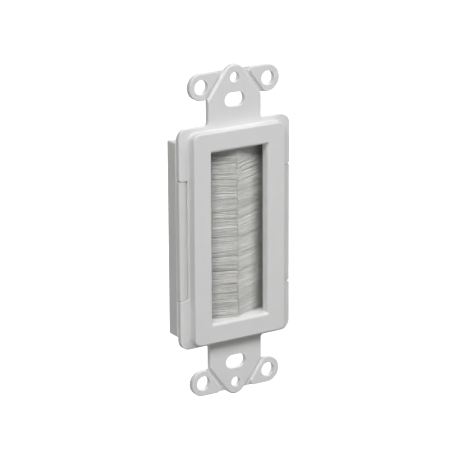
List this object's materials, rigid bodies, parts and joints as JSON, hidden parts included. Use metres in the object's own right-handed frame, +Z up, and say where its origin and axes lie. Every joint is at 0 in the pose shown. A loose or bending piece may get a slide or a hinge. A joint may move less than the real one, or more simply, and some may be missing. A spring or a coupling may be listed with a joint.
{
  "type": "brush cable grommet",
  "caption": "Wall plate insert with a rectangular window closed by two facing strip brushes that let loose cables through, on a screw-fixed strap with break-off ears.",
  "frame": {"origin": "middle of the screw pattern, on the rear face of the strap", "axes": "+Z up along the strap, +X to the right seen from the front, the front faces -Y"},
  "size_m": [0.0402, 0.0092, 0.1046],
  "materials": {
    "frame_plastic": "moulded white, fine satin",
    "housing_plastic": "moulded white, satin",
    "channel_metal": "folded zinc-coated strip",
    "wire_metal": "drawn wire",
    "bristle_nylon": "translucent nylon filaments"
  },
  "bodies": {
    "root": {"front_frame": "frame_plastic", "rear_housing": "housing_plastic", "brush_channel_left": "channel_metal", "brush_channel_right": "channel_metal", "core_wire_left": "wire_metal", "core_wire_right": "wire_metal", "bristles_left": "bristle_nylon", "bristles_right": "bristle_nylon"}
  },
  "joints": []
}
